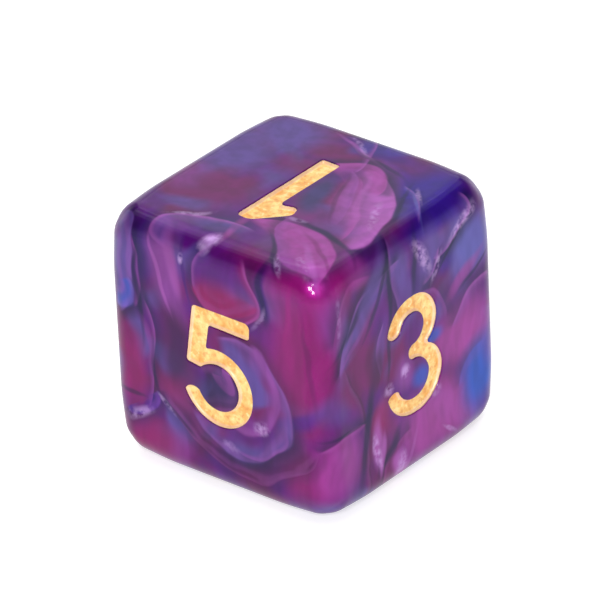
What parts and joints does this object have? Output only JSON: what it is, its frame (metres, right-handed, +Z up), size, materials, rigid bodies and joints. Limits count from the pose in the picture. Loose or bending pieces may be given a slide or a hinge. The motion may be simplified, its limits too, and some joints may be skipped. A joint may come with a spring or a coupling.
{
  "type": "six-sided die",
  "caption": "Cubic gaming die with rolled edges and sunk painted numerals, opposite faces adding up to seven.",
  "frame": {"origin": "centre of the flat face that the die rests on, the one marked 6", "axes": "+Z up through the face marked 1, -Y out of the face marked 5, +X out of the face marked 3"},
  "size_m": [0.016, 0.016, 0.016],
  "materials": {
    "marbled_resin": "polished pearlescent acrylic resin, swirled purple, magenta and slate blue",
    "gold_paint": "hand-filled gold paint, slightly grainy, satin"
  },
  "bodies": {
    "root": {"body": "marbled_resin", "numeral_one_paint": "gold_paint", "numeral_two_paint": "gold_paint", "numeral_three_paint": "gold_paint", "numeral_four_paint": "gold_paint", "numeral_five_paint": "gold_paint", "numeral_six_paint": "gold_paint"}
  },
  "joints": []
}
